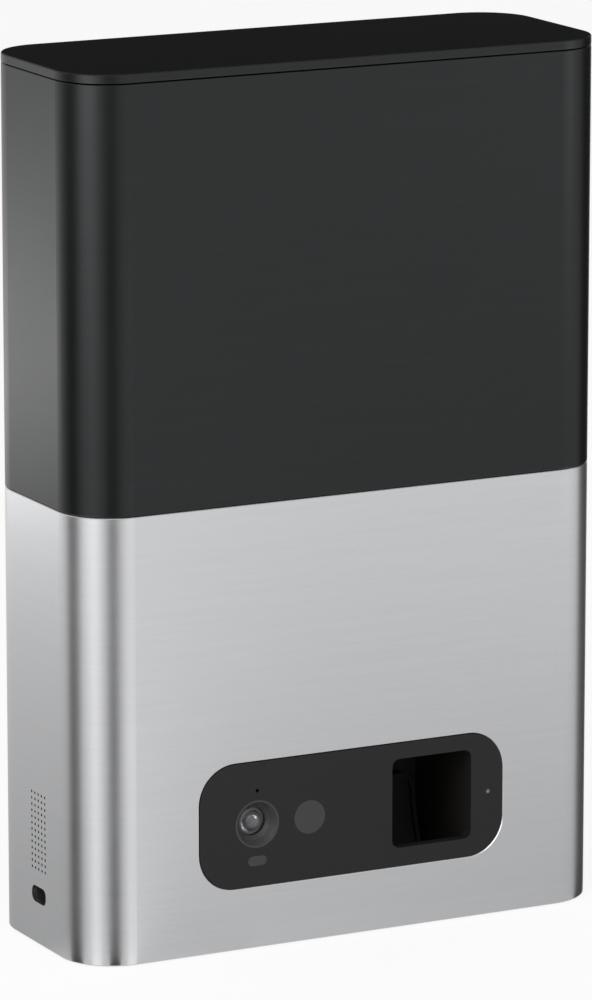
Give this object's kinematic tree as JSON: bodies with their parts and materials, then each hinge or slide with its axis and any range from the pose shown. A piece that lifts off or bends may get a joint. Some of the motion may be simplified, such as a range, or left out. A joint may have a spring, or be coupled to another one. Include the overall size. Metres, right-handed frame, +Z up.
{
  "type": "treat tossing pet camera",
  "caption": "Tall slim pet camera: black upper sleeve with treat bin under a lift-off lid, silver lower sleeve, front panel with lens and a square opening that treats fly out of.",
  "frame": {"origin": "centre of the footprint, on the surface the part stands on", "axes": "+Z up, -Y is the front with the lens and the treat opening, +X to the right seen from the front"},
  "size_m": [0.178, 0.068, 0.27],
  "materials": {
    "black_anodised": "satin black anodised, fine brushed grain",
    "silver_anodised": "satin silver anodised, fine brushed grain",
    "panel_black": "dark satin-gloss plastic",
    "smoked_window": "smoked infrared-clear plastic",
    "bezel_black": "satin black plastic",
    "black_plastic": "fine matt moulded texture",
    "chute_plastic": "dark moulded plastic",
    "bin_plastic": "food-safe grey moulded plastic",
    "acetal_white": "natural white low-friction plastic",
    "lens_glass": "coated clear glass",
    "clear_resin": "clear moulded resin",
    "rubber_black": "soft matt rubber",
    "silicone_grey": "soft matt silicone",
    "steel": "plain steel",
    "screw_steel": "bright plated screws",
    "motor_steel": "plated motor can",
    "brass": "turned brass",
    "board_green": "green solder resist",
    "chip_black": "moulded chip packages"
  },
  "bodies": {
    "housing": {"base_pad": "rubber_black", "base_plate": "black_plastic", "frame_screws": "screw_steel", "lower_shell": "silver_anodised", "upper_shell": "black_anodised", "chassis": "black_plastic", "top_collar": "black_plastic", "hanger_plate": "steel", "treat_container": "bin_plastic", "spout_seal": "silicone_grey", "dosing_housing": "black_plastic", "dosing_cover": "black_plastic", "dosing_screws": "screw_steel", "dosing_bushes": "brass", "dosing_motor": "motor_steel", "dosing_motor_clamp": "black_plastic", "drop_tube": "black_plastic", "launch_chute": "chute_plastic", "arm_stops": "rubber_black", "chute_screws": "screw_steel", "launch_bushes": "brass", "return_spring": "steel", "launch_motor": "motor_steel", "launch_bracket": "steel", "front_panel": "panel_black", "lens_ring": "bezel_black", "lens_dome": "lens_glass", "lens_barrel": "black_plastic", "camera_board": "board_green", "camera_board_chips": "chip_black", "sensor_windows": "smoked_window", "infrared_emitters": "clear_resin", "status_light": "clear_resin", "status_board": "board_green", "speaker": "black_plastic", "sound_seals": "rubber_black", "inlet_surround": "black_plastic", "power_socket": "steel", "power_board": "board_green", "board_carrier": "black_plastic", "main_board": "board_green", "board_screws": "screw_steel", "shield_can": "steel", "board_components": "chip_black"},
    "lid": {"lid_plate": "black_anodised", "lid_plug": "black_plastic", "lid_seal": "silicone_grey", "lid_screws": "screw_steel"},
    "dosing_wheel": {"dosing_wheel": "acetal_white", "dosing_shaft": "steel", "dosing_gear": "acetal_white"},
    "dosing_pinion": {"dosing_pinion": "brass", "dosing_motor_shaft": "steel"},
    "thrower": {"launch_arm": "black_plastic", "launch_shaft": "steel", "launch_sector": "acetal_white"},
    "thrower_pinion": {"launch_pinion": "brass", "launch_motor_shaft": "steel"},
    "setup_button": {"setup_button": "bezel_black"}
  },
  "joints": [
    {"name": "lid_lift", "type": "slide", "parent": "housing", "child": "lid", "axis": [0, 0, 1], "range_m": [0, 0.06]},
    {"name": "dosing_turn", "type": "hinge", "parent": "housing", "child": "dosing_wheel", "pos_m": [0.0283, 0, 0.118], "axis": [0, 1, 0], "continuous": true},
    {"name": "dosing_pinion_turn", "type": "hinge", "parent": "housing", "child": "dosing_pinion", "pos_m": [0.0583, 0, 0.118], "axis": [0, 1, 0], "continuous": true},
    {"name": "toss", "type": "hinge", "parent": "housing", "child": "thrower", "pos_m": [0.0283, -0.006, 0.0106], "axis": [1, 0, 0], "range_deg": [0, 55], "stiffness_Nm_per_rad": 0.01, "deforming": ["return_spring"]},
    {"name": "toss_pinion_turn", "type": "hinge", "parent": "housing", "child": "thrower_pinion", "pos_m": [0.0483, 0.00005, 0.03486], "axis": [1, 0, 0], "range_deg": [-141.5, 0]},
    {"name": "button_press", "type": "slide", "parent": "housing", "child": "setup_button", "axis": [0, -1, 0], "range_m": [0, 0.0005], "stiffness_N_per_m": 400}
  ],
  "couplings": [
    {"joint": "dosing_pinion_turn", "follows": "dosing_turn", "ratio": -2.3333},
    {"joint": "toss_pinion_turn", "follows": "toss", "ratio": -2.5714}
  ]
}
